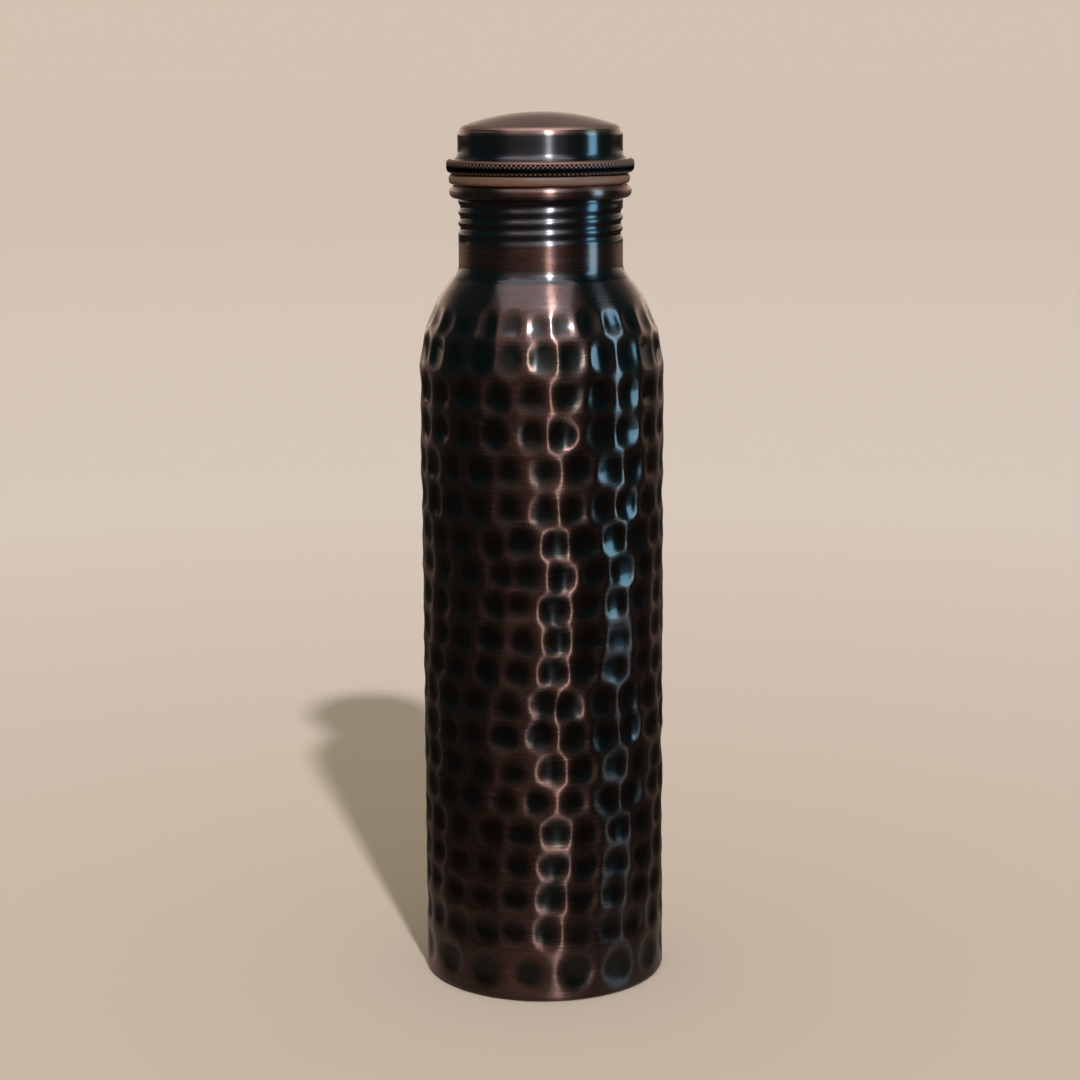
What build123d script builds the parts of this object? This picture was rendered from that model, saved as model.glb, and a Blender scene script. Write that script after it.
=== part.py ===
from build123d import *
from math import acos, asin, cos, degrees, radians, sin, sqrt
import os

# A hammered copper water bottle with a plug-type screw cap.
# Origin: centre of the foot, on the surface that the bottle stands on. +Z is up the bottle's axis.
# Every copper piece is thin sheet turned round that axis, so each is drawn as a path that one
# side of the sheet follows, thickened to the path's left and revolved.

# Body, in millimetres
height = 258.0
body_r = 36.0
sheet = 0.7
foot_bend_r = 1.7
foot_rim_r = 30.5
shoulder_start_z = 183.0
shoulder_r = 41.5
neck_r = 24.0
neck_bend_r = 4.5

# Mouth bead, the neck's sheet curled outwards
mouth_z = 237.2
curl_r = 0.9
curl_side = 0.7
curl_tail = 105.0

# Screw thread, right-handed, rolled into the neck
pitch = 3.1
thread_bottom_z = 221.4
thread_turns = 3.3
thread_start = 180.0
groove_section_r = 0.9
groove_depth = 0.6
weld = 0.3

# Cap plug, the threaded cup inside the neck
plug_r = 22.35
plug_bottom_z = 219.8
plug_corner_r = 2.0
plug_bend_r = 0.8
plug_rib_r = 0.7
plug_rib_tip_r = 22.95
plug_rib_turns = 2.5
plug_flange_r = 26.5
plug_flange_z = 242.8

# Cap crown, the dome with its curled rim
crown_r = 24.0
dome_r = 66.0
dome_corner_r = 3.2
crown_fillet_r = 2.4
rim_r = 27.36
rim_top_z = 244.2
rim_top_corner_r = 0.8
rim_curl_r = 1.7

# Gasket
gasket_inner_r = 22.7
gasket_r = 26.37
gasket_gap = 0.15
gasket_edge_r = 1.1
rim_bottom_z = plug_flange_z - 0.7 - rim_curl_r
gasket_top_z = rim_bottom_z - gasket_gap
gasket_bottom_z = mouth_z + gasket_gap

# Base disc
base_panel_z = 3.6
base_panel_r = 26.0
base_bend_r = 1.4
base_step_angle = 65.0
base_rim_r = 34.2


def turned_sheet(start, heading, moves, thickness):
    """Sheet turned round the Z axis.

    Its traced side starts at start, (radius, height), facing heading, and makes the moves: a
    number is a straight run of that length, a pair is a bend (radius, degrees), positive to the
    left. The sheet lies on the left of the path.
    """
    with BuildPart() as turned:
        with BuildSketch(Plane.XZ):
            with BuildLine():
                traced = Vector(*start)
                forward = Vector(*heading)
                hidden = traced + forward.rotate(Axis.Z, 90) * thickness
                Line(traced, hidden)
                for move in moves:
                    if isinstance(move, tuple):
                        bend_r, angle = move
                        side = 1 if angle > 0 else -1
                        near = JernArc(traced, forward, bend_r, angle)
                        far = JernArc(hidden, forward, bend_r - side * thickness, angle)
                        forward = forward.rotate(Axis.Z, angle)
                    else:
                        near = Line(traced, traced + forward * move)
                        far = Line(hidden, hidden + forward * move)
                    traced = near @ 1
                    hidden = far @ 1
                Line(traced, hidden)
            make_face()
        revolve(axis=Axis.Z)
    return turned.part


def helical_rib(section_r, centre_r, bottom_z, turns, start_angle, inner_r, outer_r):
    """A rib of round section that climbs the thread's helix, cut off at two radii."""
    with BuildPart() as rib:
        with BuildLine() as path:
            Helix(pitch, pitch * turns, centre_r, center=(0, 0, bottom_z))
        with BuildSketch(Plane.XZ):
            with Locations((centre_r, bottom_z)):
                Circle(section_r)
            with Locations(((inner_r + outer_r) / 2, bottom_z)):
                Rectangle(outer_r - inner_r, 4 * section_r, mode=Mode.INTERSECT)
        sweep(path=path.line, is_frenet=True)
    return rib.part.rotate(Axis.Z, start_angle)


# Shoulder and neck bend meet tangentially where both have turned by the same angle
shoulder_angle = degrees(acos(1 - (body_r - neck_r) / (shoulder_r + neck_bend_r)))
neck_start_z = shoulder_start_z + (shoulder_r + neck_bend_r) * sin(radians(shoulder_angle))
curl_start_z = mouth_z - curl_r - sheet

# The groove's section is centred outside the neck, and the rib inside it is concentric, so the
# sheet keeps its thickness through the thread
groove_centre_r = neck_r - groove_depth + groove_section_r
neck_rib = helical_rib(
    groove_section_r + sheet,
    groove_centre_r,
    thread_bottom_z,
    thread_turns,
    thread_start,
    neck_r - groove_depth - sheet - weld,
    neck_r - sheet + weld,
)
neck_groove = helical_rib(
    groove_section_r,
    groove_centre_r,
    thread_bottom_z,
    thread_turns,
    thread_start,
    neck_r - groove_depth - weld,
    groove_centre_r + groove_section_r + weld,
)

shell_body = turned_sheet(
    (foot_rim_r, 0),
    (1, 0),
    [
        body_r - foot_bend_r - foot_rim_r,
        (foot_bend_r, 90),
        shoulder_start_z - foot_bend_r,
        (shoulder_r, shoulder_angle),
        (neck_bend_r, -shoulder_angle),
        curl_start_z - neck_start_z,
        (curl_r, -180),
        curl_side,
        (curl_r, -curl_tail),
    ],
    sheet,
)
with BuildPart() as bottle_shell:
    add(shell_body)
    add(neck_rib)
    add(neck_groove, mode=Mode.SUBTRACT)

# The base disc's flange lies on the foot's turned-in rim, and its panel stands clear of the table
base_step_turn = base_bend_r * (1 - cos(radians(base_step_angle)))
base_step_fall = base_panel_z - sheet - 2 * base_step_turn - sheet * (1 - cos(radians(base_step_angle)))
base_step_run = base_step_fall / sin(radians(base_step_angle))
base_step_reach = (2 * base_bend_r + sheet) * sin(radians(base_step_angle))
base_step_reach += base_step_run * cos(radians(base_step_angle))
base_shell = turned_sheet(
    (0, base_panel_z),
    (1, 0),
    [
        base_panel_r,
        (base_bend_r, -base_step_angle),
        base_step_run,
        (base_bend_r + sheet, base_step_angle),
        base_rim_r - base_panel_r - base_step_reach,
    ],
    sheet,
)
with BuildPart() as base_disc:
    add(base_shell)

# The plug's rib runs half a pitch above the neck's, in the middle of the space between its turns
plug_flange_bend_z = plug_flange_z - plug_bend_r
plug_cup = turned_sheet(
    (0, plug_bottom_z),
    (1, 0),
    [
        plug_r - plug_corner_r,
        (plug_corner_r, 90),
        plug_flange_bend_z - plug_bottom_z - plug_corner_r,
        (plug_bend_r, -90),
        plug_flange_r - plug_r - plug_bend_r,
    ],
    sheet,
)
plug_rib = helical_rib(
    plug_rib_r,
    plug_rib_tip_r - plug_rib_r,
    thread_bottom_z + pitch / 2,
    plug_rib_turns,
    thread_start,
    plug_r - weld,
    plug_rib_tip_r + weld,
)
with BuildPart() as cap_plug:
    add(plug_cup)
    add(plug_rib)

# The crown's corner arc touches both the wall and the dome
corner_centre_r = crown_r - dome_corner_r
corner_to_dome = dome_r - dome_corner_r
corner_centre_z = height - dome_r + sqrt(corner_to_dome**2 - corner_centre_r**2)
dome_edge_angle = degrees(asin(corner_centre_r / corner_to_dome))
crown_shell = turned_sheet(
    (rim_r - 2 * rim_curl_r, plug_flange_z),
    (0, -1),
    [
        plug_flange_z - rim_bottom_z - rim_curl_r,
        (rim_curl_r, 180),
        rim_top_z - rim_top_corner_r - rim_bottom_z - rim_curl_r,
        (rim_top_corner_r, 90),
        rim_r - rim_top_corner_r - crown_r - crown_fillet_r,
        (crown_fillet_r, -90),
        corner_centre_z - rim_top_z - crown_fillet_r,
        (dome_corner_r, 90 - dome_edge_angle),
        (dome_r, dome_edge_angle),
    ],
    sheet,
)
with BuildPart() as cap_crown:
    add(crown_shell)

with BuildPart() as gasket_ring:
    with BuildSketch(Plane.XZ):
        with Locations(((gasket_inner_r + gasket_r) / 2, (gasket_bottom_z + gasket_top_z) / 2)):
            gasket_section = Rectangle(gasket_r - gasket_inner_r, gasket_top_z - gasket_bottom_z)
        fillet(gasket_section.vertices().group_by(Axis.X)[-1], gasket_edge_r)
    revolve(axis=Axis.Z)

pieces = {
    "bottle_shell": bottle_shell,
    "base_disc": base_disc,
    "cap_crown": cap_crown,
    "cap_plug": cap_plug,
    "gasket_ring": gasket_ring,
}
os.makedirs("parts", exist_ok=True)
for name, piece in pieces.items():
    piece.part.label = name
    export_step(piece.part, f"parts/{name}.step")
    print(name, len(piece.part.solids()), round(piece.part.volume, 1), piece.part.bounding_box())
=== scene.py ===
import math
import random

import bpy
import numpy as np
from mathutils import Matrix, Vector


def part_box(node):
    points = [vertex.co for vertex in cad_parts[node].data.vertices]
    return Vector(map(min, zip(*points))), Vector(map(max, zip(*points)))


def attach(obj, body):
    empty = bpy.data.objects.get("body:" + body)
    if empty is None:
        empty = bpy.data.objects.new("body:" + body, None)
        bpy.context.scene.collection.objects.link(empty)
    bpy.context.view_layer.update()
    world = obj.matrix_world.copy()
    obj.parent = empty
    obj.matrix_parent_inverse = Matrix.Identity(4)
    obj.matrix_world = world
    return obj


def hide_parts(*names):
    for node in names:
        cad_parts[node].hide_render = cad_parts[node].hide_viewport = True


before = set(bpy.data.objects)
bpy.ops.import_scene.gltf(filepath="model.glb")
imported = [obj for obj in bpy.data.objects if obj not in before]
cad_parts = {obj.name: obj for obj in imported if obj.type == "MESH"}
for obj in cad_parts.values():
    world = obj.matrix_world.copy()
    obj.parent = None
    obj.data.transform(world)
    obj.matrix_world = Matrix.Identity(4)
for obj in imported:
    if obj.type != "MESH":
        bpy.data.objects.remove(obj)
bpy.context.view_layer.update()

MM = 0.001
TURN = 2 * math.pi
FRONT = -math.pi / 2  # angle of the -Y side, where the front marks are counted from

# Sizes that the pieces share with the CAD model, in metres. The rest come from the frame's boxes.
SHEET = 0.7 * MM
SHELL_LOW, SHELL_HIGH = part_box("bottle_shell")
CROWN_LOW, CROWN_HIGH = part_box("cap_crown")
PLUG_LOW, PLUG_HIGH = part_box("cap_plug")
GASKET_LOW, GASKET_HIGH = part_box("gasket_ring")
BASE_LOW, BASE_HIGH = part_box("base_disc")

# Shell
BODY_R = SHELL_HIGH.x
MOUTH_Z = SHELL_HIGH.z
NECK_R = 24.0 * MM
FOOT_RIM_R = 30.5 * MM
FOOT_BEND_R = 1.7 * MM
SHOULDER_Z = 183.0 * MM
SHOULDER_R = 41.5 * MM
NECK_BEND_R = 4.5 * MM
CURL_R = 0.9 * MM
CURL_SIDE = 0.7 * MM
CURL_TAIL = math.radians(105)
CURL_Z = MOUTH_Z - CURL_R - SHEET
ON_FACE = 0.01 * MM  # how near a point has to be to count as on a face

# Screw thread
PITCH = 3.1 * MM
THREAD_Z = 221.4 * MM
THREAD_TURNS = 3.5
THREAD_START = math.pi
THREAD_DEPTH = 0.6 * MM
THREAD_FADE = 0.3
NECKING_Z = 233.9 * MM
NECKING_HALF_HEIGHT = 0.9 * MM
NECKING_DEPTH = 0.3 * MM

# Fine groove where the neck meets the shoulder
CREASE_Z = 210.9 * MM
CREASE_HALF_HEIGHT = 0.5 * MM
CREASE_DEPTH = 0.14 * MM
CREASE_REACH_R = BODY_R - 6 * MM

# Crown. Its corner arc touches both the wall and the dome
CROWN_R = 24.0 * MM
DOME_R = 66.0 * MM
DOME_CORNER_R = 3.2 * MM
CROWN_FILLET_R = 2.4 * MM
CORNER_CENTRE_R = CROWN_R - DOME_CORNER_R
CORNER_TO_DOME = DOME_R - DOME_CORNER_R
CROWN_WALL_TOP_Z = CROWN_HIGH.z - DOME_R + math.sqrt(CORNER_TO_DOME ** 2 - CORNER_CENTRE_R ** 2)
DOME_MATT_R = CROWN_R - 0.6 * MM  # the matt dome ends here, on the corner
RIM_INNER_R = CROWN_R + CROWN_FILLET_R
RIM_R = CROWN_HIGH.x
RIM_TOP_Z = 244.4 * MM
RIM_TOP_CORNER_R = 0.9 * MM
RIM_CURL_R = 1.7 * MM

# Plug
PLUG_R = 22.35 * MM
PLUG_CORNER_R = 2.0 * MM
PLUG_BEND_R = 0.8 * MM
PLUG_RIB_HEIGHT = 0.6 * MM
PLUG_RIB_TURNS = 2.7

# Gasket
GASKET_INNER_R = 22.7 * MM
GASKET_EDGE_R = 1.1 * MM
GASKET_INNER_EDGE_R = 0.3 * MM
GASKET_UNEVEN = 0.07 * MM
GASKET_SHIFT = 0.3 * MM

# Base disc
BASE_PANEL_Z = 3.6 * MM
BASE_PANEL_R = 26.0 * MM
BASE_BEND_R = 1.4 * MM
BASE_STEP_TURN = math.radians(65)

SHELL_COLUMNS = 270
PLAIN_COLUMNS = 144


def smoothstep(low, high, x):
    t = np.clip((x - low) / (high - low), 0, 1)
    return t * t * (3 - 2 * t)


class Path:
    """Points along one side of a turned sheet's section, as (radius, height), with the normal to
    the left of each and the distance walked."""

    def __init__(self, start, heading):
        self.points = [np.array(start, float)]
        self.angle = math.atan2(heading[1], heading[0])
        self.normals = [self.left()]
        self.walked = [0.0]

    def left(self):
        return np.array([-math.sin(self.angle), math.cos(self.angle)])

    def step(self, move, turn):
        self.angle += turn / 2
        forward = np.array([math.cos(self.angle), math.sin(self.angle)])
        self.points.append(self.points[-1] + forward * move)
        self.angle += turn / 2
        self.normals.append(self.left())
        self.walked.append(self.walked[-1] + move)

    def run(self, length, spacing):
        steps = max(1, round(length / spacing))
        for _ in range(steps):
            self.step(length / steps, 0)

    def bend(self, radius, turn, spacing):
        steps = max(2, round(radius * abs(turn) / spacing))
        part = turn / steps
        chord = 2 * radius * math.sin(abs(part) / 2)
        for _ in range(steps):
            self.step(chord, part)

    def arrays(self):
        return np.array(self.points), np.array(self.normals), np.array(self.walked)


def section_loop(path, thickness, far_every=1, clean_end=1.0):
    """The sheet's whole section, along the traced side and back along the hidden one.

    Gives for each row of the mesh the path row it comes from and how deep in the sheet it lies. Up
    to clean_end the hidden side keeps one row in far_every. A path that ends on the axis has its
    hidden side first, so that both ends of the loop are there.
    """
    count = len(path.points)
    near = list(range(count))
    far = [row for row in near if row % far_every == 0 or row == count - 1
           or path.walked[row] > clean_end][::-1]
    depth = [0.0] * len(near) + [thickness] * len(far)
    rows = near + far
    if path.points[-1][0] < ON_FACE:
        rows = far + near
        depth = depth[::-1][:len(far)] + [0.0] * len(near)
    return np.array(rows), np.array(depth)


def column_angles(columns):
    return FRONT + TURN * np.arange(columns) / columns


def ring_faces(first, second):
    """Faces between two rings of points, each given as (index of its first point, how many). The
    rings have as many points as each other, or one has half as many, or is a single pole."""
    (a, m), (b, n) = first, second
    if m < n:
        return [face[::-1] for face in ring_faces(second, first)]
    i = np.arange(m)
    j = (i + 1) % m
    if n == m:
        return np.stack([a + i, a + j, b + j, b + i], 1).tolist()
    if n == 1:
        return np.stack([np.full(m, b), a + i, a + j], 1).tolist()
    k = np.arange(n)
    left, right = b + k, b + (k + 1) % n
    start, middle, end = a + 2 * k, a + 2 * k + 1, a + (2 * k + 2) % m
    corners = np.concatenate([np.stack([start, middle, left], 1), np.stack([middle, end, right], 1),
                              np.stack([middle, right, left], 1)])
    return corners.tolist()


def skin(name, places, shades, closed=True, coarse=None):
    """A mesh over rows of points. Each row is a ring round the axis, and the rows close into a
    loop, or end in a pole at each end. A coarse row keeps every second point."""
    count = len(places)
    points, rings = [], []
    values = {key: [] for key in shades}
    for row in range(count):
        pole = not closed and row in (0, count - 1)
        pick = slice(None, None, 2 if coarse is not None and coarse[row] else 1)
        ring = places[row].mean(0)[None] if pole else places[row][pick]
        rings.append((len(points), len(ring)))
        points.extend(ring.tolist())
        for key, shade in shades.items():
            values[key].extend([shade[row].mean()] if pole else shade[row][pick])
    faces = []
    for row in range(count if closed else count - 1):
        faces.extend(ring_faces(rings[row], rings[(row + 1) % count]))
    mesh = bpy.data.meshes.new(name)
    mesh.from_pydata(points, [], faces)
    for key, value in values.items():
        data = mesh.attributes.new(key, "FLOAT", "POINT").data
        data.foreach_set("value", np.array(value, np.float32))
    mesh.shade_smooth()
    mesh.update()
    piece = bpy.data.objects.new(name, mesh)
    bpy.context.scene.collection.objects.link(piece)
    return piece


def turn_points(points, normals, offset, angle):
    """Places of a section's points, moved offset to the left of the path and turned to angle."""
    radius = points[:, 0, None] + normals[:, 0, None] * offset
    radius = np.where(points[:, 0, None] < ON_FACE, 0, radius)
    z = points[:, 1, None] + normals[:, 1, None] * offset
    return np.stack([radius * np.cos(angle), radius * np.sin(angle), z], 2)


def revolve_sheet(name, path, columns, relief=None, closed=True, far_every=1, embossed=True,
                  clean_end=1.0):
    """Turns a sheet's section round the axis.

    relief(angle, points, walked) gives how far each point is pressed to the left of the path, and
    how dark it looks: a worn edge is under 0, rubbed metal 0, a dark hollow 1 and a sooty groove 2;
    the same value carries painted shade in creases, under the lip, on the shoulder and in the knurl.
    An embossed sheet's hidden side follows. The hidden side is clean metal up to clean_end along
    the path.
    """
    points, normals, walked = path.arrays()
    rows, depth = section_loop(path, SHEET, far_every, clean_end)
    angle = column_angles(columns)[None, :]
    pressed = np.zeros((len(points), columns))
    recess_and_shade = pressed
    if relief is not None:
        pressed, recess_and_shade = relief(angle, points, walked)
    hidden = depth > 0
    offset = depth[:, None] + np.where(hidden[:, None] & (not embossed), 0, pressed[rows])
    places = turn_points(points[rows], normals[rows], offset, angle)
    inside = np.repeat((hidden & (walked[rows] < clean_end)).astype(float)[:, None], columns, 1)
    return skin(name, places, {"recess_and_shade": recess_and_shade[rows], "inside": inside}, closed, hidden)


# ---------------------------------------------------------------- hammered shell

# One row a line: height in mm, marks round the body, and the angle in degrees of the mark
# nearest the front. The smith's rows drift, so no two are alike.
MARK_ROWS = (
    (199.0, 27, -2), (190.2, 24, 0), (179.0, 22, -5), (168.3, 22, -6), (157.8, 23, 1),
    (147.0, 24, -1), (137.3, 24, 5), (128.0, 23, 10), (118.4, 23, 6), (108.6, 23, 5),
    (99.4, 22, 4), (89.8, 23, -2), (80.0, 22, -2), (70.0, 22, 2), (60.7, 22, -3),
    (51.3, 22, 5), (41.3, 22, 4), (31.8, 22, 2), (21.4, 23, 1), (9.0, 16, -8),
)
MARK_HALF_WIDTH = 5.1 * MM
MARK_HALF_HEIGHT = 5.5 * MM
MARK_DEPTH = 0.92 * MM
MARK_SOFTNESS = 0.15 * MM
TOP_ROW_SIZE = 0.78
FOOT_ROW_SIZE = 1.14
HAMMERED_FROM_R = NECK_R + 3 * MM
HAMMERED_FULL_R = NECK_R + 6 * MM
FOOT_PLAIN_RUN = 4 * MM  # of the foot's underside, which has no marks


def hammer_marks(seed=11):
    """Every hammer mark as (angle, height, half width, half height, depth, lobes, lobe angle)."""
    rng = random.Random(seed)
    marks = []
    last = len(MARK_ROWS) - 1
    for index, (height, count, first) in enumerate(MARK_ROWS):
        size = {0: TOP_ROW_SIZE, last: FOOT_ROW_SIZE}.get(index, 1.0)
        wild = 0.35 + 0.65 * math.sin(math.pi * index / last) ** 2
        for k in range(count):
            angle = FRONT + math.radians(first) + TURN * (k + rng.uniform(-0.13, 0.13) * wild) / count
            z = height * MM + rng.gauss(0, 0.55 * MM) * wild
            half_width = MARK_HALF_WIDTH * size * rng.uniform(0.88, 1.1)
            half_height = MARK_HALF_HEIGHT * size * rng.uniform(0.9, 1.08)
            depth = MARK_DEPTH * size * rng.uniform(0.8, 1.12)
            lobe = rng.uniform(0.0, 0.09)
            marks.append((angle, z, half_width, half_height, depth, lobe, rng.uniform(0, TURN)))
    return marks


def dent(angle, points, walked):
    """Depth of the hammered surface below the smooth one: the marks' cups, joined by soft ridges."""
    z = points[:, 1]
    outer = (points[:, 0] > HAMMERED_FROM_R) & (walked > FOOT_PLAIN_RUN)
    total = np.ones((len(z), angle.shape[1]))
    for mark_angle, mark_z, half_width, half_height, depth, lobe, lobe_angle in hammer_marks():
        near = np.where(outer & (abs(z - mark_z) < 1.6 * half_height))[0]
        centre = np.interp(mark_z, z[near], walked[near])
        radius = points[near, 0].mean()
        across = (angle - mark_angle + math.pi) % TURN - math.pi
        u = across * radius / half_width
        v = ((walked[near] - centre) / half_height)[:, None]
        around = np.arctan2(v, u)
        reach = (u * u + v * v) * (1 + lobe * np.cos(3 * (around - lobe_angle)))
        total[near] += np.exp(np.maximum(depth * (1 - reach) / MARK_SOFTNESS, -30))
    return MARK_SOFTNESS * np.log(total)


def thread_wave(angle, z, start_z, turns):
    """The rolled thread's groove depth, from 0 to 1, fading in and out at its ends."""
    phase = ((angle - THREAD_START) % TURN) / TURN
    lap = np.round((z - start_z) / PITCH - phase)
    along = lap + phase
    off = (z - start_z - PITCH * along) / PITCH
    wave = np.cos(math.pi * np.clip(off, -0.5, 0.5)) ** 2
    fade = smoothstep(0, THREAD_FADE, along) * smoothstep(0, THREAD_FADE, turns - along)
    return wave * fade


def shell_relief(angle, points, walked):
    """The marks, the thread, the necking and the crease, the oxide each has kept, and painted shade.
    """
    radius, z = points[:, 0, None], points[:, 1, None]
    low = dent(angle, points, walked)
    on_neck = (abs(radius - NECK_R) < ON_FACE) & (z < CURL_Z + ON_FACE)
    wave = np.where(on_neck, thread_wave(angle, z, THREAD_Z, THREAD_TURNS), 0)
    necking = np.where(on_neck, np.exp(-((z - NECKING_Z) / NECKING_HALF_HEIGHT) ** 2), 0)
    crease = np.exp(-((z - CREASE_Z) / CREASE_HALF_HEIGHT) ** 2)
    crease = np.where(radius < CREASE_REACH_R, crease, 0)
    pressed = low + THREAD_DEPTH * wave + NECKING_DEPTH * necking + CREASE_DEPTH * crease
    hammered = smoothstep(HAMMERED_FROM_R, HAMMERED_FULL_R, radius)
    threaded = smoothstep(THREAD_Z - 0.6 * PITCH, THREAD_Z, z) * on_neck
    # Painted shade: the shoulder's top below the crease and the neck's bend above it are darkened.
    shoulder = smoothstep(200 * MM, 208 * MM, z) * (z < CREASE_Z)
    above = z - CREASE_Z
    neck_foot = smoothstep(0, 0.5 * MM, above) * (1 - smoothstep(1.5 * MM, 4.5 * MM, above))
    lip = z > CURL_Z
    # The value also carries painted shade: 0.9 at the necking under the lip, 1 in the crease, 0.45 on
    # the neck's bend and 0.18 on the shoulder's top.
    recess_and_shade = hammered * np.maximum(low / MARK_DEPTH - 0.11, 0.05) / 1.3 - 0.06 * (1 - hammered)
    recess_and_shade = np.minimum(recess_and_shade, 1) + threaded * (0.5 + 0.7 * wave) + 0.9 * necking + crease
    recess_and_shade = recess_and_shade + 0.18 * shoulder - 0.1 * lip + 0.45 * neck_foot
    return pressed, recess_and_shade


def make_shell():
    neck_turn = math.acos(1 - (BODY_R - NECK_R) / (SHOULDER_R + NECK_BEND_R))
    neck_z = SHOULDER_Z + (SHOULDER_R + NECK_BEND_R) * math.sin(neck_turn)
    thread_low = THREAD_Z - 2 * MM
    path = Path((FOOT_RIM_R, 0), (1, 0))
    path.run(BODY_R - FOOT_BEND_R - FOOT_RIM_R, 1.2 * MM)
    path.bend(FOOT_BEND_R, math.pi / 2, 0.45 * MM)
    path.run(SHOULDER_Z - FOOT_BEND_R, 0.96 * MM)
    path.bend(SHOULDER_R, neck_turn, 0.96 * MM)
    path.bend(NECK_BEND_R, -neck_turn, 0.4 * MM)
    path.run(thread_low - neck_z, 1.2 * MM)
    path.run(CURL_Z - thread_low, 0.38 * MM)
    curl_start = path.walked[-1]
    path.bend(CURL_R, -math.pi, 0.3 * MM)
    path.run(CURL_SIDE, 0.35 * MM)
    path.bend(CURL_R, -CURL_TAIL, 0.3 * MM)
    return revolve_sheet("hammered_shell", path, SHELL_COLUMNS, shell_relief, far_every=3,
                         clean_end=curl_start)


# ---------------------------------------------------------------- cap, gasket and base

KNURL_TEETH = 124
CROWN_COLUMNS = 6 * KNURL_TEETH
KNURL_DEPTH = 0.3 * MM
KNURL_STEP = 1.36 * MM
KNURL_GROOVE = 0.36  # half the width of a groove, as a share of the space between two
KNURL_REACH = 0.9 * MM  # how far in from the rim's widest part the knurl's band goes


def crown_relief(angle, points, walked):
    """The crossed grooves round the crown's rim, between its curl and the smooth bead on top.

    The teeth are bright at the band's two edges, the grooves are sooty, and the band's middle is
    painted shade, near black.
    """
    radius, z = points[:, 0, None], points[:, 1, None]
    on_rim = np.where(points[:, 0] > RIM_R - KNURL_REACH)[0]
    low, high = walked[on_rim[0]], walked[on_rim[-1]]
    rise = ((walked - (low + high) / 2) / KNURL_STEP)[:, None]
    turn = KNURL_TEETH * angle / TURN
    nearest = [abs((phase + 0.5) % 1 - 0.5) for phase in (turn + rise, turn - rise)]
    groove = 1 - smoothstep(0, KNURL_GROOVE, np.minimum(*nearest))
    edge = smoothstep(low - 0.3 * MM, low + 0.2 * MM, walked)
    edge = edge * smoothstep(1.0 * MM, 1.4 * MM, high - walked)
    groove = groove * edge[:, None]
    share = ((walked - low) / (high - low))[:, None]
    # Painted shade: the middle of the knurl's band is made near black.
    band = smoothstep(0.15, 0.24, share) * (1 - smoothstep(0.42, 0.58, share))
    rim = (radius > RIM_INNER_R).astype(float)
    wall = smoothstep(RIM_TOP_Z, RIM_TOP_Z + 0.3 * MM, z) * (1 - smoothstep(
        CROWN_WALL_TOP_Z - 0.3 * MM, CROWN_WALL_TOP_Z + 1.2 * MM, z))
    corner = np.exp(-((z - CROWN_WALL_TOP_Z - 1.2 * MM) / (0.8 * MM)) ** 2)
    soot_and_shade = smoothstep(0.35, 0.95, groove)
    bead = smoothstep(0.7, 0.76, share)
    recess_and_shade = rim * (2.4 * np.maximum(band, soot_and_shade) + 0.42 * bead - 0.4) + 0.6 * wall - 0.15 * corner
    return KNURL_DEPTH * groove, recess_and_shade


def make_crown():
    """The crown's faces have three materials: 0 on the wall, 1 on the dome and 2 on the rim."""
    rim_bottom_z = CROWN_LOW.z
    dome_turn = math.asin(CORNER_CENTRE_R / CORNER_TO_DOME)
    path = Path((RIM_R - 2 * RIM_CURL_R, rim_bottom_z + RIM_CURL_R + SHEET), (0, -1))
    path.run(SHEET, 0.4 * MM)
    path.bend(RIM_CURL_R, math.pi / 2, 0.5 * MM)
    path.bend(RIM_CURL_R, math.pi / 2, 0.18 * MM)
    path.run(RIM_TOP_Z - RIM_TOP_CORNER_R - rim_bottom_z - RIM_CURL_R, 0.18 * MM)
    path.bend(RIM_TOP_CORNER_R, math.pi / 2, 0.16 * MM)
    path.run(RIM_R - RIM_TOP_CORNER_R - RIM_INNER_R, 0.2 * MM)
    path.bend(CROWN_FILLET_R, -math.pi / 2, 0.45 * MM)
    path.run(CROWN_WALL_TOP_Z - RIM_TOP_Z - CROWN_FILLET_R, 2 * MM)
    path.bend(DOME_CORNER_R, math.pi / 2 - dome_turn, 0.25 * MM)
    path.bend(DOME_R, dome_turn, 2 * MM)
    crown = revolve_sheet("domed_crown", path, CROWN_COLUMNS, crown_relief, closed=False,
                          far_every=3, embossed=False)
    for face in crown.data.polygons:
        reach = face.center.xy.length
        if face.center.z > CROWN_WALL_TOP_Z and reach < DOME_MATT_R:
            face.material_index = 1
        elif reach > RIM_INNER_R - 0.3 * MM:
            face.material_index = 2
    return crown


def plug_relief(angle, points, walked):
    wave = thread_wave(angle, points[:, 1, None], THREAD_Z + PITCH / 2, PLUG_RIB_TURNS)
    on_wall = abs(points[:, 0] - PLUG_R) < ON_FACE
    wave = np.where(on_wall[:, None], wave, 0)
    return -PLUG_RIB_HEIGHT * wave ** 2, 0.6 * (1 - wave)


def make_plug():
    flange_bend_z = PLUG_HIGH.z - SHEET - PLUG_BEND_R
    path = Path((0, PLUG_LOW.z), (1, 0))
    path.run(PLUG_R - PLUG_CORNER_R, 2.5 * MM)
    path.bend(PLUG_CORNER_R, math.pi / 2, 0.5 * MM)
    path.run(flange_bend_z - PLUG_LOW.z - PLUG_CORNER_R, 0.31 * MM)
    path.bend(PLUG_BEND_R, -math.pi / 2, 0.3 * MM)
    path.run(PLUG_HIGH.x - PLUG_R - PLUG_BEND_R, 1.2 * MM)
    return revolve_sheet("threaded_plug", path, PLAIN_COLUMNS, plug_relief, closed=False,
                         far_every=4, embossed=False)


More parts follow.
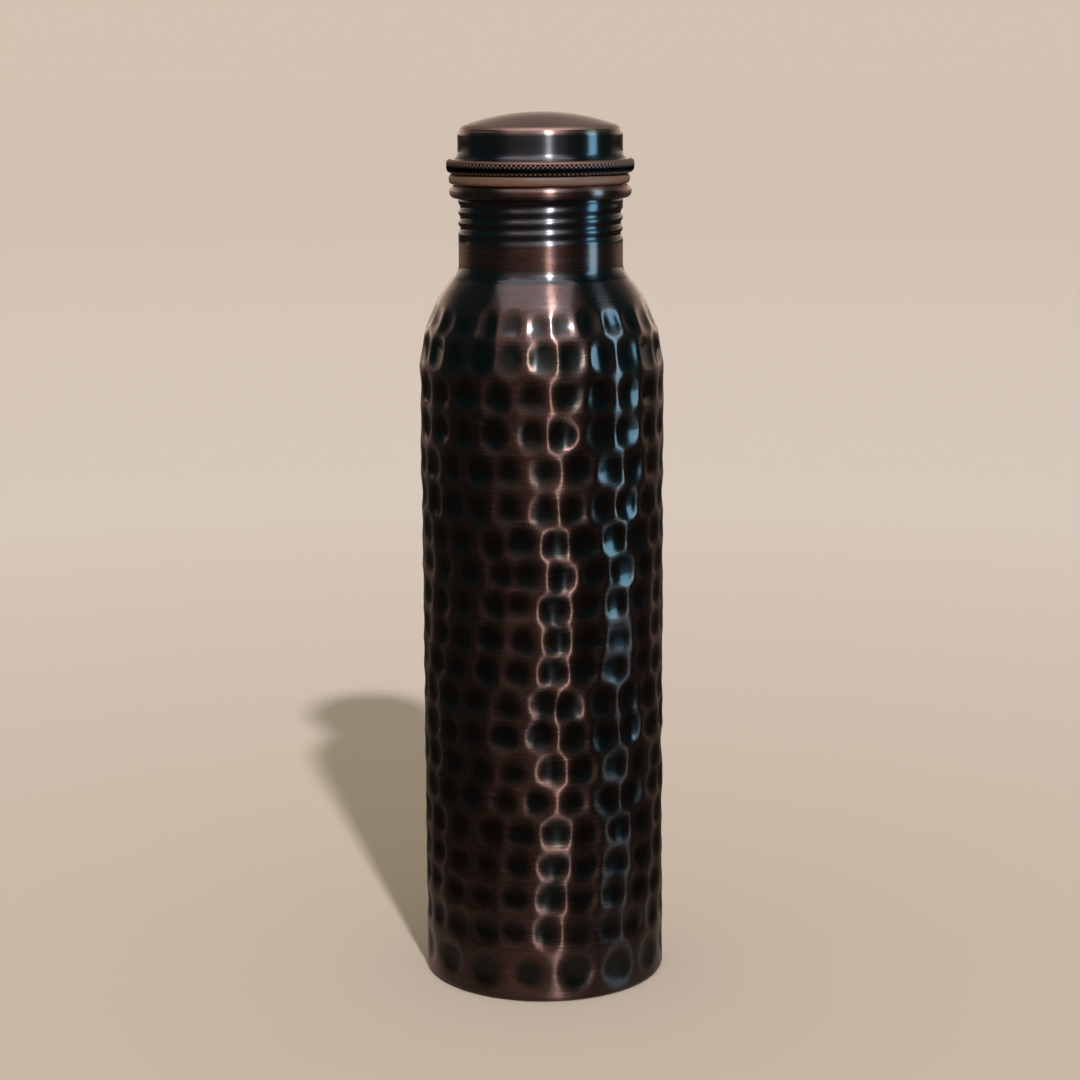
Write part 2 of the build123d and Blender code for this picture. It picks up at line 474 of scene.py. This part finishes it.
def make_gasket():
    """A moulded ring whose outer edges are rounded, pulled in a little unevenly round its girth."""
    width = GASKET_HIGH.x - GASKET_INNER_R
    height = GASKET_HIGH.z - GASKET_LOW.z
    path = Path((GASKET_INNER_R + GASKET_INNER_EDGE_R, GASKET_LOW.z), (1, 0))
    before = GASKET_INNER_EDGE_R
    for side, corner in ((width, GASKET_EDGE_R), (height, GASKET_EDGE_R),
                         (width, GASKET_INNER_EDGE_R), (height, GASKET_INNER_EDGE_R)):
        path.run(side - before - corner, 0.3 * MM)
        path.bend(corner, math.pi / 2, 0.25 * MM)
        before = corner
    points, normals, _ = [part[:-1] for part in path.arrays()]
    angle = column_angles(PLAIN_COLUMNS)[None, :]
    pull = sum(np.cos(laps * angle + laps * laps) for laps in (2, 3, 5, 9)) / 4
    offset = GASKET_UNEVEN * (0.5 + 0.5 * pull) + np.zeros((len(points), 1))
    places = turn_points(points, normals, offset, angle) - np.array((GASKET_SHIFT, 0, 0))
    return skin("silicone_gasket", places, {})


def make_base():
    turn_fall = BASE_BEND_R * (1 - math.cos(BASE_STEP_TURN))
    fall = BASE_PANEL_Z - SHEET - 2 * turn_fall - SHEET * (1 - math.cos(BASE_STEP_TURN))
    step_run = fall / math.sin(BASE_STEP_TURN)
    reach = (2 * BASE_BEND_R + SHEET) * math.sin(BASE_STEP_TURN) + step_run * math.cos(BASE_STEP_TURN)
    path = Path((0, BASE_PANEL_Z), (1, 0))
    path.run(BASE_PANEL_R, 2 * MM)
    path.bend(BASE_BEND_R, -BASE_STEP_TURN, 0.35 * MM)
    path.run(step_run, 0.5 * MM)
    path.bend(BASE_BEND_R + SHEET, BASE_STEP_TURN, 0.35 * MM)
    path.run(BASE_HIGH.x - BASE_PANEL_R - reach, 1.2 * MM)
    return revolve_sheet("turned_base", path, PLAIN_COLUMNS, closed=False)


# ---------------------------------------------------------------- materials

def add_node(tree, kind, inputs=None, **settings):
    node = tree.nodes.new(kind)
    for key, value in settings.items():
        setattr(node, key, value)
    for key, value in (inputs or {}).items():
        if isinstance(value, bpy.types.NodeSocket):
            tree.links.new(value, node.inputs[key])
        else:
            node.inputs[key].default_value = value
    return node


def math_node(tree, operation, a, b=0.0):
    return add_node(tree, "ShaderNodeMath", {0: a, 1: b}, operation=operation).outputs[0]


def mix_colour(tree, factor, a, b, blend="MIX"):
    node = add_node(tree, "ShaderNodeMix", {"Factor": factor, 6: a, 7: b}, data_type="RGBA",
                    blend_type=blend)
    return node.outputs[2]


def attribute(tree, name):
    return add_node(tree, "ShaderNodeAttribute", attribute_name=name).outputs["Fac"]


def object_place(tree):
    return add_node(tree, "ShaderNodeTexCoord").outputs["Object"]


def new_material(name):
    material = bpy.data.materials.new(name)
    material.use_nodes = True
    tree = material.node_tree
    shader = tree.nodes["Principled BSDF"]
    return material, tree, shader


def axis_distance(tree, x, y):
    squares = [math_node(tree, "MULTIPLY", side, side) for side in (x, y)]
    return math_node(tree, "SQRT", math_node(tree, "ADD", *squares))


def lathe_vector(tree, along, across):
    """Coordinates that run slowly round the axis and fast across it, for lathe brushing."""
    x, y, z = add_node(tree, "ShaderNodeSeparateXYZ", {0: object_place(tree)}).outputs
    height = math_node(tree, "SUBTRACT", z, axis_distance(tree, x, y))
    joined = add_node(tree, "ShaderNodeCombineXYZ", {
        0: math_node(tree, "MULTIPLY", x, along),
        1: math_node(tree, "MULTIPLY", y, along),
        2: math_node(tree, "MULTIPLY", height, across),
    })
    return joined.outputs[0]


def noise(tree, vector, scale, detail=3.0, rough=0.5):
    node = add_node(tree, "ShaderNodeTexNoise", {
        "Vector": vector, "Scale": scale, "Detail": detail, "Roughness": rough})
    return node.outputs["Fac"]


def spread(tree, value, low, high, to_low, to_high):
    node = add_node(tree, "ShaderNodeMapRange", {
        "Value": value, "From Min": low, "From Max": high, "To Min": to_low, "To Max": to_high})
    return node.outputs[0]


def bump(tree, shader, height, strength, distance):
    node = add_node(tree, "ShaderNodeBump", {
        "Height": height, "Strength": strength, "Distance": distance})
    tree.links.new(node.outputs[0], shader.inputs["Normal"])


THIN_PATINA = (0.064, 0.054, 0.057, 1)
SOOT_AND_SHADE = (0.002, 0.002, 0.002, 1)
REBRUSHED_FROM_Z = 208 * MM
REBRUSHED_FULL_Z = 216 * MM
BRUSHING_DEPTH = 0.05 * MM


def copper(name, land, scratch, patina_and_shade, bare, anisotropy=1.0, roughness=0.33, lacquer=0.7):
    """Lathe-brushed copper under lacquer.

    land is the two tones of the rubbed metal, scratch the bright metal of worn edges and of the
    finest lines, the third colour the dark oxide left in the hollows, also used for painted shade,
    and bare the clean metal inside. The oxide is thinner on the neck and the cap, which were brushed
    again, and glassier below them.
    """
    material, tree, shader = new_material(name)
    place = object_place(tree)
    z = add_node(tree, "ShaderNodeSeparateXYZ", {0: place}).outputs[2]
    rebrushed = spread(tree, z, REBRUSHED_FROM_Z, REBRUSHED_FULL_Z, 0.0, 1.0)
    patina_and_shade = mix_colour(tree, rebrushed, patina_and_shade, THIN_PATINA)
    fine = noise(tree, lathe_vector(tree, 80.0, 2900.0), 1.0, 3.0, 0.6)
    broad = noise(tree, lathe_vector(tree, 22.0, 620.0), 1.0, 3.0, 0.5)
    cloud = noise(tree, place, 42.0, 4.0, 0.55)
    grain = noise(tree, place, 1600.0, 2.0, 0.6)
    uneven = math_node(tree, "ADD", spread(tree, cloud, 0.3, 0.7, -0.09, 0.09),
                       spread(tree, broad, 0.3, 0.7, -0.06, 0.06))
    sunk_and_shaded = math_node(tree, "ADD", attribute(tree, "recess_and_shade"), uneven)
    # Up to 0.5 the colour turns to the dark oxide; this also paints shade on the shoulder's top, the
    # neck's bend and in the crease.
    dark = spread(tree, sunk_and_shaded, 0.0, 0.5, 0.0, 1.0)
    # Past 1.25 it turns near black: soot in the knurl's grooves, and painted shade at the necking
    # under the lip and in the knurl's middle.
    soot_and_shade = spread(tree, sunk_and_shaded, 1.25, 1.8, 0.0, 1.0)
    worn = spread(tree, sunk_and_shaded, -0.35, -0.05, 0.9, 0.0)
    rubbed = mix_colour(tree, spread(tree, cloud, 0.3, 0.7, 0.0, 1.0), land[0], land[1])
    rubbed = mix_colour(tree, spread(tree, broad, 0.35, 0.65, 0.3, 0.0), rubbed, patina_and_shade)
    rubbed = mix_colour(tree, worn, rubbed, scratch)
    rubbed = mix_colour(tree, spread(tree, grain, 0.45, 0.75, 0.0, 0.2), rubbed, scratch)
    rubbed = mix_colour(tree, spread(tree, fine, 0.56, 0.74, 0.0, 0.45), rubbed, scratch)
    outer = mix_colour(tree, dark, rubbed, patina_and_shade)
    outer = mix_colour(tree, soot_and_shade, outer, SOOT_AND_SHADE)
    colour = mix_colour(tree, attribute(tree, "inside"), outer, bare)
    tree.links.new(colour, shader.inputs["Base Color"])
    glassy = math_node(tree, "MULTIPLY", dark, math_node(tree, "SUBTRACT", 1.0, rebrushed))
    rough = spread(tree, fine, 0.3, 0.7, roughness - 0.03, roughness + 0.03)
    rough = math_node(tree, "SUBTRACT", rough, math_node(tree, "MULTIPLY", glassy, 0.14))
    tree.links.new(rough, shader.inputs["Roughness"])
    tree.links.new(spread(tree, worn, 0.3, 0.9, 1.0, 0.4), shader.inputs["Metallic"])
    edge_tint = mix_colour(tree, dark, (1, 1, 1, 1), (0.25, 0.25, 0.25, 1))
    tree.links.new(edge_tint, shader.inputs["Specular Tint"])
    shader.inputs["Specular IOR Level"].default_value = 0.2
    shader.inputs["Anisotropic"].default_value = anisotropy
    shader.inputs["Anisotropic Rotation"].default_value = 0.25
    coat = math_node(tree, "MULTIPLY", spread(tree, soot_and_shade, 0.0, 1.0, lacquer, 0.06),
                     spread(tree, worn, 0.0, 0.6, 1.0, 0.1))
    tree.links.new(coat, shader.inputs["Coat Weight"])
    shader.inputs["Coat Roughness"].default_value = 0.13
    tangent = add_node(tree, "ShaderNodeTangent", direction_type="RADIAL", axis="Z")
    tree.links.new(tangent.outputs[0], shader.inputs["Tangent"])
    height = math_node(tree, "ADD", fine, math_node(tree, "MULTIPLY", grain, 0.6))
    height = math_node(tree, "MULTIPLY", height, spread(tree, dark, 0.0, 1.0, 1.0, 0.25))
    bump(tree, shader, height, 0.4, BRUSHING_DEPTH)
    return material


DUST_DEPTH = 0.04 * MM


def silicone():
    """Translucent tan rubber, dusty on top, and redder low down as painted warm light bounced from
    the copper below.
    """
    material, tree, shader = new_material("silicone")
    place = object_place(tree)
    z = add_node(tree, "ShaderNodeSeparateXYZ", {0: place}).outputs[2]
    blotch = noise(tree, place, 120.0, 4.0, 0.6)
    dust = noise(tree, place, 1500.0, 2.0, 0.5)
    # Painted reflected light: the lower half is redder, standing in for warm light bounced off the
    # copper.
    middle = (GASKET_LOW.z + GASKET_HIGH.z) / 2
    height = spread(tree, z, middle - 1.0 * MM, middle + 0.9 * MM, 0.0, 1.0)
    height = math_node(tree, "ADD", height, spread(tree, blotch, 0.3, 0.7, -0.35, 0.35))
    colour = mix_colour(tree, height, (0.16, 0.075, 0.053, 1), (0.135, 0.076, 0.049, 1))
    colour = mix_colour(tree, spread(tree, dust, 0.62, 0.8, 0.0, 0.2), colour, (0.4, 0.34, 0.25, 1))
    tree.links.new(colour, shader.inputs["Base Color"])
    tree.links.new(spread(tree, blotch, 0.3, 0.7, 0.42, 0.6), shader.inputs["Roughness"])
    shader.inputs["Subsurface Weight"].default_value = 0.25
    shader.inputs["Subsurface Radius"].default_value = (0.0012, 0.0007, 0.0004)
    bump(tree, shader, dust, 0.2, DUST_DEPTH)
    return material


BODY_COPPER = copper("hammered_copper", ((0.145, 0.058, 0.042, 1), (0.085, 0.041, 0.032, 1)),
                     (0.33, 0.19, 0.16, 1), (0.020, 0.020, 0.0185, 1), (0.75, 0.42, 0.32, 1))
CAP_COPPER = copper("cap_copper", ((0.22, 0.12, 0.095, 1), (0.18, 0.105, 0.085, 1)),
                    (0.42, 0.2, 0.13, 1), (0.075, 0.062, 0.064, 1), (0.6, 0.34, 0.26, 1))
DOME_COPPER = copper("dome_copper", ((0.44, 0.225, 0.17, 1), (0.36, 0.19, 0.148, 1)),
                     (0.42, 0.2, 0.13, 1), (0.075, 0.062, 0.064, 1), (0.6, 0.34, 0.26, 1),
                     anisotropy=0.0, roughness=0.48, lacquer=0.5)
RIM_COPPER = copper("knurled_copper", ((0.30, 0.14, 0.10, 1), (0.22, 0.11, 0.08, 1)),
                    (0.36, 0.185, 0.145, 1), (0.03, 0.02, 0.018, 1), (0.6, 0.34, 0.26, 1),
                    anisotropy=0.0, roughness=0.58, lacquer=0.0)
PLUG_COPPER = copper("plug_copper", ((0.60, 0.33, 0.25, 1), (0.45, 0.25, 0.19, 1)),
                     (0.75, 0.45, 0.35, 1), (0.30, 0.17, 0.13, 1), (0.75, 0.42, 0.32, 1))
BASE_COPPER = copper("base_copper", ((0.2, 0.10, 0.08, 1), (0.12, 0.07, 0.06, 1)),
                     (0.4, 0.22, 0.18, 1), (0.05, 0.035, 0.03, 1), (0.6, 0.34, 0.26, 1))
SILICONE = silicone()

PIECES = (
    (make_shell, "bottle", "bottle_shell", "hammered_copper", (BODY_COPPER,)),
    (make_crown, "cap", "cap_crown", "cap_copper", (CAP_COPPER, DOME_COPPER, RIM_COPPER)),
    (make_plug, "cap", "cap_plug", "plug_copper", (PLUG_COPPER,)),
    (make_gasket, "seal", "gasket_ring", "silicone", (SILICONE,)),
    (make_base, "bottle", "base_disc", "base_copper", (BASE_COPPER,)),
)
for make, body, node, slot, materials in PIECES:
    piece = make()
    for material in materials:
        piece.data.materials.append(material)
    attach(piece, body)
    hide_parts(node)


# ---------------------------------------------------------------- stage, light and camera

def link(name, data):
    placed = bpy.data.objects.new(name, data)
    bpy.context.scene.collection.objects.link(placed)
    return placed


def towards(azimuth, height):
    """Unit vector that points to a place seen from the origin. Azimuth 0 is -Y and 90 is +X."""
    side, up = math.radians(azimuth), math.radians(height)
    return Vector((math.sin(side) * math.cos(up), -math.cos(side) * math.cos(up), math.sin(up)))


def sunlight(name, azimuth, height, spread_angle, strength, colour):
    data = bpy.data.lights.new(name, "SUN")
    data.energy = strength
    data.angle = math.radians(spread_angle)
    data.color = colour
    light = link(name, data)
    light.rotation_euler = towards(azimuth, height).to_track_quat("Z", "Y").to_euler()
    return light


PANEL_TARGET_Z = 120 * MM


def panel_light(name, azimuth, distance, middle_z, width, height, watts, colour):
    """A soft rectangular light that faces the bottle. Only gloss sees it."""
    data = bpy.data.lights.new(name, "AREA")
    data.shape = "RECTANGLE"
    data.size = width
    data.size_y = height
    data.energy = watts
    data.color = colour
    light = link(name, data)
    light.location = towards(azimuth, 0) * distance + Vector((0, 0, middle_z))
    facing = light.location - Vector((0, 0, PANEL_TARGET_Z))
    light.rotation_euler = facing.to_track_quat("Z", "Y").to_euler()
    light.visible_diffuse = False
    light.visible_camera = False
    return light


key = sunlight("key", 13.5, 38.0, 2.4, 3.0, (1.0, 0.98, 0.96))
key.visible_glossy = False
glint = sunlight("glint", 13.5, 38.5, 4, 2.9, (0.80, 0.96, 1.04))
glint.visible_diffuse = False
fill = sunlight("fill", 0, 90, 120, 1.5, (1.0, 0.9, 0.68))
fill.visible_glossy = False
panel_light("window", 76.5, 0.55, 0.29, 0.125, 0.41, 1.1, (0.30, 0.70, 1.0))
ceiling = panel_light("ceiling", 0, 0.3, 1.2, 1.2, 0.85, 5.5, (0.85, 0.87, 1.0))
ceiling.location.x = -0.11

# The floor is one plain paper; its colour is graded with distance as painted light, darker next to
# the bottle and far off than at 0.8 to 0.9 m. It is dimmer in reflections.
NEAR_PAPER_AND_LIGHT = (0.515, 0.43, 0.38, 1)
MIDDLE_PAPER_AND_LIGHT = (0.59, 0.515, 0.50, 1)
FAR_PAPER_AND_LIGHT = (0.556, 0.479, 0.448, 1)
bpy.ops.mesh.primitive_plane_add(size=400)
floor = bpy.context.object
floor.name = "floor"
floor_material, floor_tree, floor_shader = new_material("floor_paper")
floor_place = add_node(floor_tree, "ShaderNodeSeparateXYZ", {0: object_place(floor_tree)}).outputs
away = axis_distance(floor_tree, floor_place[0], floor_place[1])
paper_and_light = mix_colour(floor_tree, spread(floor_tree, away, 0.1, 0.8, 0.0, 1.0), NEAR_PAPER_AND_LIGHT, MIDDLE_PAPER_AND_LIGHT)
paper_and_light = mix_colour(floor_tree, spread(floor_tree, away, 0.9, 4.0, 0.0, 1.0), paper_and_light, FAR_PAPER_AND_LIGHT)
in_gloss = add_node(floor_tree, "ShaderNodeLightPath").outputs["Is Glossy Ray"]
dimmed = math_node(floor_tree, "MULTIPLY", in_gloss, spread(floor_tree, away, 0.045, 0.12, 0.6, 0.91))
paper_and_light = mix_colour(floor_tree, dimmed, paper_and_light, (0, 0, 0, 1))
floor_tree.links.new(paper_and_light, floor_shader.inputs["Base Color"])
floor_shader.inputs["Roughness"].default_value = 1.0
floor_shader.inputs["Specular IOR Level"].default_value = 0.0
floor.data.materials.append(floor_material)

# The room round the bottle, as its gloss sees it, with two glows given by azimuth, height, the
# angles in degrees where each fades out and is full, and its colour.
ROOM = (0.038, 0.082, 0.084, 1)
BACKDROP = (1.15, 0.86, 0.70, 1)
SEEN_BACKDROP = (0.662, 0.539, 0.445, 1)
GLOWS = ((-6, 45, 50, 15, (0.5, 0.42, 0.38, 1)), (13, 42, 24, 4, (1.2, 1.4, 1.7, 1)))
world = bpy.data.worlds.new("studio")
bpy.context.scene.world = world
world.use_nodes = True
sky = world.node_tree
background = sky.nodes["Background"]
direction = add_node(sky, "ShaderNodeTexCoord").outputs["Generated"]
_, back, up = add_node(sky, "ShaderNodeSeparateXYZ", {0: direction}).outputs
behind = math_node(sky, "MULTIPLY", spread(sky, back, 0.4, 0.75, 0.0, 1.0),
                   spread(sky, up, 0.08, 0.42, 1.0, 0.15))
room = mix_colour(sky, behind, ROOM, BACKDROP)
rays = add_node(sky, "ShaderNodeLightPath")
for azimuth, height, edge, middle, colour in GLOWS:
    along = add_node(sky, "ShaderNodeVectorMath", {0: direction, 1: towards(azimuth, height)},
                     operation="DOT_PRODUCT").outputs["Value"]
    glow = spread(sky, along, math.cos(math.radians(edge)), math.cos(math.radians(middle)), 0.0, 1.0)
    glow = math_node(sky, "MULTIPLY", glow, rays.outputs["Is Glossy Ray"])
    room = mix_colour(sky, glow, room, colour, "ADD")
seen = rays.outputs["Is Camera Ray"]
sky.links.new(mix_colour(sky, seen, room, SEEN_BACKDROP), background.inputs["Color"])

bpy.context.scene.view_settings.view_transform = "Standard"

camera_data = bpy.data.cameras.new("camera")
camera_data.sensor_width = 36.0
camera_data.lens = 82.9
camera = link("camera", camera_data)
camera.location = (-0.77 * MM, -730 * MM, 268.3 * MM)
CAMERA_DOWN = math.radians(10.59)
CAMERA_LEAN = math.radians(-0.366)
camera.rotation_euler = (Matrix.Rotation(math.pi / 2 - CAMERA_DOWN, 4, "X")
                         @ Matrix.Rotation(CAMERA_LEAN, 4, "Z")).to_euler()
bpy.context.scene.camera = camera
